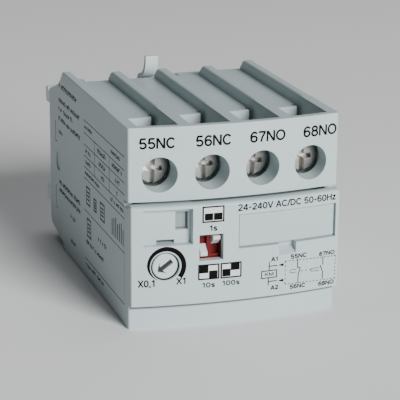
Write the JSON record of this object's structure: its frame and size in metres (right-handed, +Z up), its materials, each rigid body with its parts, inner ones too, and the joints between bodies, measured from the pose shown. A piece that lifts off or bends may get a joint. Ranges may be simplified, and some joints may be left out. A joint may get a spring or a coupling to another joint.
{
  "type": "front-mount timer module",
  "caption": "Electronic on-delay timer module in a light grey bow-fronted case with screw terminals, setting knob, range selector and a clip-on rear base with release lever.",
  "frame": {"origin": "under the middle of the whole module, on the plane of the casing's underside", "axes": "+X to the right seen from the front, +Y from the front face to the rear hooks, +Z up"},
  "size_m": [0.045, 0.0728, 0.044],
  "materials": {
    "casing_grey": "fine-textured light grey moulded plastic",
    "base_white": "smooth off-white moulded plastic",
    "marker_grey": "satin light grey label plate",
    "indicator_grey": "satin mid grey plastic",
    "knob_grey": "satin light grey plastic",
    "switch_red": "semi-gloss dark red plastic",
    "slider_white": "white plastic",
    "pot_black": "black moulded plastic",
    "relay_black": "semi-gloss black plastic case",
    "board_green": "green solder mask on glass-epoxy",
    "connector_black": "black plastic header",
    "capacitor_sleeve": "shrink-sleeved aluminium can",
    "film_yellow": "yellow potted plastic box",
    "varistor_blue": "blue epoxy coat",
    "resistor_body": "grey-green lacquer",
    "chip_black": "black moulding compound",
    "screw_steel": "zinc plated steel",
    "clamp_steel": "zinc plated steel",
    "terminal_brass": "tinned brass",
    "contact_brass": "brass",
    "pin_steel": "bright steel",
    "spring_steel": "spring steel wire"
  },
  "bodies": {
    "timer": {"housing": "casing_grey", "front_cover": "casing_grey", "rear_base": "base_white", "marker_plate": "marker_grey", "potentiometer": "pot_black", "selector_switch_body": "switch_red", "front_board": "board_green", "main_board": "board_green", "board_connector": "connector_black", "relay_break_contact": "relay_black", "relay_make_contact": "relay_black", "smoothing_capacitor": "capacitor_sleeve", "film_capacitor": "film_yellow", "varistor": "varistor_blue", "rectifier": "chip_black", "power_resistor": "resistor_body", "controller_chip": "chip_black", "latch_pin": "pin_steel", "latch_spring": "spring_steel", "coil_contact_a1": "contact_brass", "coil_contact_a2": "contact_brass", "terminal_plate_55": "terminal_brass", "terminal_plate_56": "terminal_brass", "terminal_plate_67": "terminal_brass", "terminal_plate_68": "terminal_brass"},
    "clamp_55": {"wire_clamp_55": "clamp_steel"},
    "screw_55": {"terminal_screw_55": "screw_steel"},
    "clamp_56": {"wire_clamp_56": "clamp_steel"},
    "screw_56": {"terminal_screw_56": "screw_steel"},
    "clamp_67": {"wire_clamp_67": "clamp_steel"},
    "screw_67": {"terminal_screw_67": "screw_steel"},
    "clamp_68": {"wire_clamp_68": "clamp_steel"},
    "screw_68": {"terminal_screw_68": "screw_steel"},
    "left_slider": {"selector_slider_left": "slider_white"},
    "right_slider": {"selector_slider_right": "slider_white"},
    "knob": {"setting_knob": "knob_grey"},
    "lever": {"release_lever": "base_white"},
    "indicator": {"position_indicator": "indicator_grey"}
  },
  "joints": [
    {"name": "clamp_55_travel", "type": "slide", "parent": "timer", "child": "clamp_55", "axis": [0, 1, 0], "range_m": [0, 0.0024]},
    {"name": "screw_55_turn", "type": "hinge", "parent": "clamp_55", "child": "screw_55", "pos_m": [-0.01615, -0.02745, 0.0325], "axis": [0, 1, 0], "range_deg": [0, 1440]},
    {"name": "clamp_56_travel", "type": "slide", "parent": "timer", "child": "clamp_56", "axis": [0, 1, 0], "range_m": [0, 0.0024]},
    {"name": "screw_56_turn", "type": "hinge", "parent": "clamp_56", "child": "screw_56", "pos_m": [-0.00539, -0.02745, 0.0325], "axis": [0, 1, 0], "range_deg": [0, 1440]},
    {"name": "clamp_67_travel", "type": "slide", "parent": "timer", "child": "clamp_67", "axis": [0, 1, 0], "range_m": [0, 0.0024]},
    {"name": "screw_67_turn", "type": "hinge", "parent": "clamp_67", "child": "screw_67", "pos_m": [0.00539, -0.02745, 0.0325], "axis": [0, 1, 0], "range_deg": [0, 1440]},
    {"name": "clamp_68_travel", "type": "slide", "parent": "timer", "child": "clamp_68", "axis": [0, 1, 0], "range_m": [0, 0.0024]},
    {"name": "screw_68_turn", "type": "hinge", "parent": "clamp_68", "child": "screw_68", "pos_m": [0.01615, -0.02745, 0.0325], "axis": [0, 1, 0], "range_deg": [0, 1440]},
    {"name": "left_slider_travel", "type": "slide", "parent": "timer", "child": "left_slider", "axis": [0, 0, 1], "range_m": [0, 0.0021]},
    {"name": "right_slider_travel", "type": "slide", "parent": "timer", "child": "right_slider", "axis": [0, 0, 1], "range_m": [-0.0021, 0]},
    {"name": "knob_turn", "type": "hinge", "parent": "timer", "child": "knob", "pos_m": [-0.01555, -0.03525, 0.01385], "axis": [0, 1, 0], "range_deg": [-25, 245]},
    {"name": "lever_tilt", "type": "hinge", "parent": "timer", "child": "lever", "pos_m": [-0.00075, 0.02895, 0.0326], "axis": [-1, 0, 0], "range_deg": [0, 12], "stiffness_Nm_per_rad": 0.03, "springref_deg": -8.59, "deforming": ["latch_spring"]},
    {"name": "indicator_travel", "type": "slide", "parent": "timer", "child": "indicator", "axis": [0, 1, 0], "range_m": [0, 0.004]}
  ],
  "couplings": [
    {"joint": "screw_55_turn", "follows": "clamp_55_travel", "rad_per_m": 10472},
    {"joint": "screw_56_turn", "follows": "clamp_56_travel", "rad_per_m": 10472},
    {"joint": "screw_67_turn", "follows": "clamp_67_travel", "rad_per_m": 10472},
    {"joint": "screw_68_turn", "follows": "clamp_68_travel", "rad_per_m": 10472}
  ]
}
